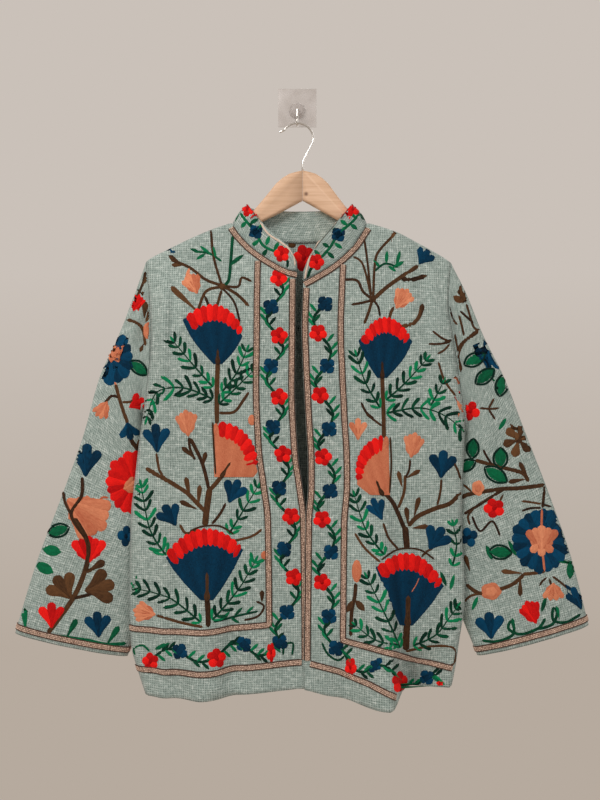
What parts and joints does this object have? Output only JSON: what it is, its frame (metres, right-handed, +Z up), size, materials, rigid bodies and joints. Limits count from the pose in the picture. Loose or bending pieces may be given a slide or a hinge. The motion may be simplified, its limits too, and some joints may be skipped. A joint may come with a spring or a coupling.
{
  "type": "embroidered open-front jacket on a hanger and wall hook",
  "caption": "Hip-length open-front cotton jacket with stand collar, long sleeves and flower embroidery, on a wooden hanger on a clear wall hook.",
  "frame": {"origin": "middle of the back face of the wall hook's plate, on the wall", "axes": "+Z up, +Y into the wall (out of the plate's back), the jacket's front faces -Y, +X to the right as seen from the front"},
  "size_m": [0.881, 0.1045, 0.9403],
  "materials": {
    "cloth": "matte",
    "braid": "matte",
    "yarn_red": "matte",
    "yarn_blue": "matte",
    "yarn_green": "matte",
    "yarn_brown": "matte",
    "yarn_salmon": "matte",
    "hanger_wood": "satin",
    "wire": "polished",
    "clear_plastic": "gloss"
  },
  "bodies": {
    "root": {"front_left": "cloth", "front_right": "cloth", "back": "cloth", "sleeve_left": "cloth", "sleeve_right": "cloth", "collar": "cloth", "braid_edge_left": "braid", "braid_edge_right": "braid", "braid_frame_left": "braid", "braid_frame_right": "braid", "braid_frame_back": "braid", "braid_hem_left": "braid", "braid_hem_right": "braid", "braid_hem_back": "braid", "braid_collar_left": "braid", "braid_collar_right": "braid", "braid_collar_back": "braid", "braid_cuff_left": "braid", "braid_cuff_right": "braid", "hanger_arm_left": "hanger_wood", "hanger_arm_right": "hanger_wood", "hanger_hook": "wire", "wall_hook": "wire", "wall_plate": "clear_plastic", "wall_boss": "clear_plastic"}
  },
  "joints": []
}
